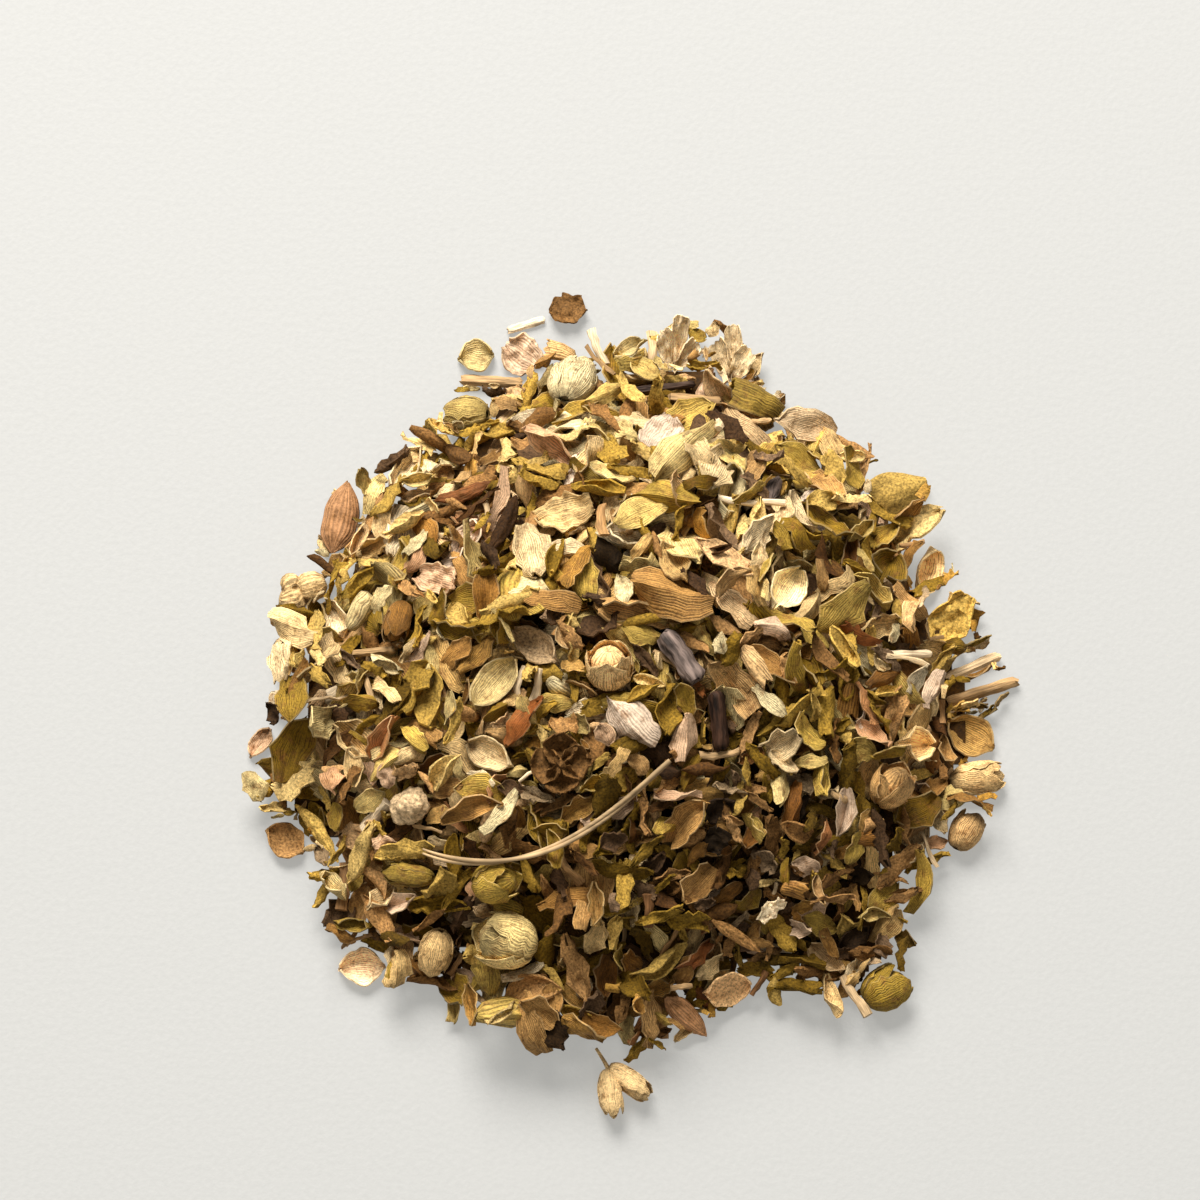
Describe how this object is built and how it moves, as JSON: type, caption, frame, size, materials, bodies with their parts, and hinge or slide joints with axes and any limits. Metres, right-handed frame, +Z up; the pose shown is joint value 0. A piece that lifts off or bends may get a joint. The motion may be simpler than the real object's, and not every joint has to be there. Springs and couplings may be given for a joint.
{
  "type": "heap of dried oregano",
  "caption": "Low round heap of dried oregano: broken leaves, papery bracts, closed buds, rolled leaves and bits of stem, with a few strays.",
  "frame": {"origin": "middle of the heap's bounding box, on the surface that it rests on", "axes": "+Z up; +Y away from the viewer; +X to the viewer's right"},
  "size_m": [0.0634, 0.0688, 0.0174],
  "materials": {
    "heap": "broken dried leaf and bract, matt, mixed olive, straw and brown",
    "green_bract": "dried bract, papery, yellow-green with fine fanned veins",
    "straw_bract": "dried bract, papery, straw with fine fanned veins",
    "tan_bract": "dried bract, papery, tan brown with fine fanned veins",
    "olive_leaf": "dried leaf, matt, olive and puckered",
    "brown_leaf": "dried leaf, matt, brown and wrinkled",
    "dark_leaf": "dried leaf, matt, nearly black brown",
    "rosy_leaf": "dried leaf or sepal, papery, rosy tan",
    "green_bud": "closed dried flower bud, olive green with fine ribs",
    "straw_bud": "closed dried flower bud, straw with fine ribs",
    "straw_stem": "split dried stem, straw, fibrous",
    "dark_twig": "broken dried twig, dark grey brown",
    "wool": "felted dried hairs, grey cream, matt"
  },
  "bodies": {
    "root": {"flake_heap": "heap", "curved_stalk": "straw_stem", "striped_bud": "green_bud", "upper_left_bud": "green_bud", "centre_bud": "straw_bud", "large_low_bud": "green_bud", "golden_bud": "green_bud", "cream_low_bud": "straw_bud", "right_rim_bud": "straw_bud", "right_low_bud": "tan_bract", "right_inner_bud": "tan_bract", "chain_end_bud": "green_bud", "striped_brown_bud": "tan_bract", "spindle_bud": "green_bud", "twin_bud": "straw_bud", "pale_galls": "straw_bud", "woolly_scrap": "wool", "brown_rosette": "brown_leaf", "dark_twig_upper": "dark_twig", "dark_twig_lower": "dark_twig", "rim_stick_long": "straw_stem", "rim_stick_short": "straw_stem", "top_left_stem": "straw_stem", "flat_stem_chip": "straw_stem", "slender_dark_twig": "dark_twig", "pale_stick_right": "straw_stem", "left_stick": "straw_stem", "knobbed_twig": "dark_twig", "white_splinter": "straw_stem", "rosy_left_leaf": "rosy_leaf", "brown_oval": "brown_leaf", "olive_roll": "olive_leaf", "tan_fan": "tan_bract", "green_round": "green_bract", "peach_flake": "rosy_leaf", "pale_crest_left": "straw_bract", "pale_crest_right": "straw_bract", "toothed_fold": "green_bract", "toothed_edge_leaf": "olive_leaf", "green_cup": "green_bract", "tan_shell": "straw_bract", "torn_right_leaf": "olive_leaf", "right_fan": "straw_bract", "striped_shell": "straw_bract", "pink_flake": "rosy_leaf", "orange_flake": "rosy_leaf", "centre_bract": "green_bract", "grey_leaf": "dark_leaf", "cream_bract": "straw_bract", "right_bract": "green_bract", "dark_roll": "brown_leaf", "rosy_roll": "rosy_leaf", "plum_roll": "brown_leaf", "golden_flake": "straw_bract", "clear_chip": "straw_bract", "brown_roll_low": "brown_leaf", "brown_disc": "brown_leaf", "tan_pod": "rosy_leaf", "stray_brown_flake": "brown_leaf", "stray_tan_wedge": "rosy_leaf"}
  },
  "joints": []
}
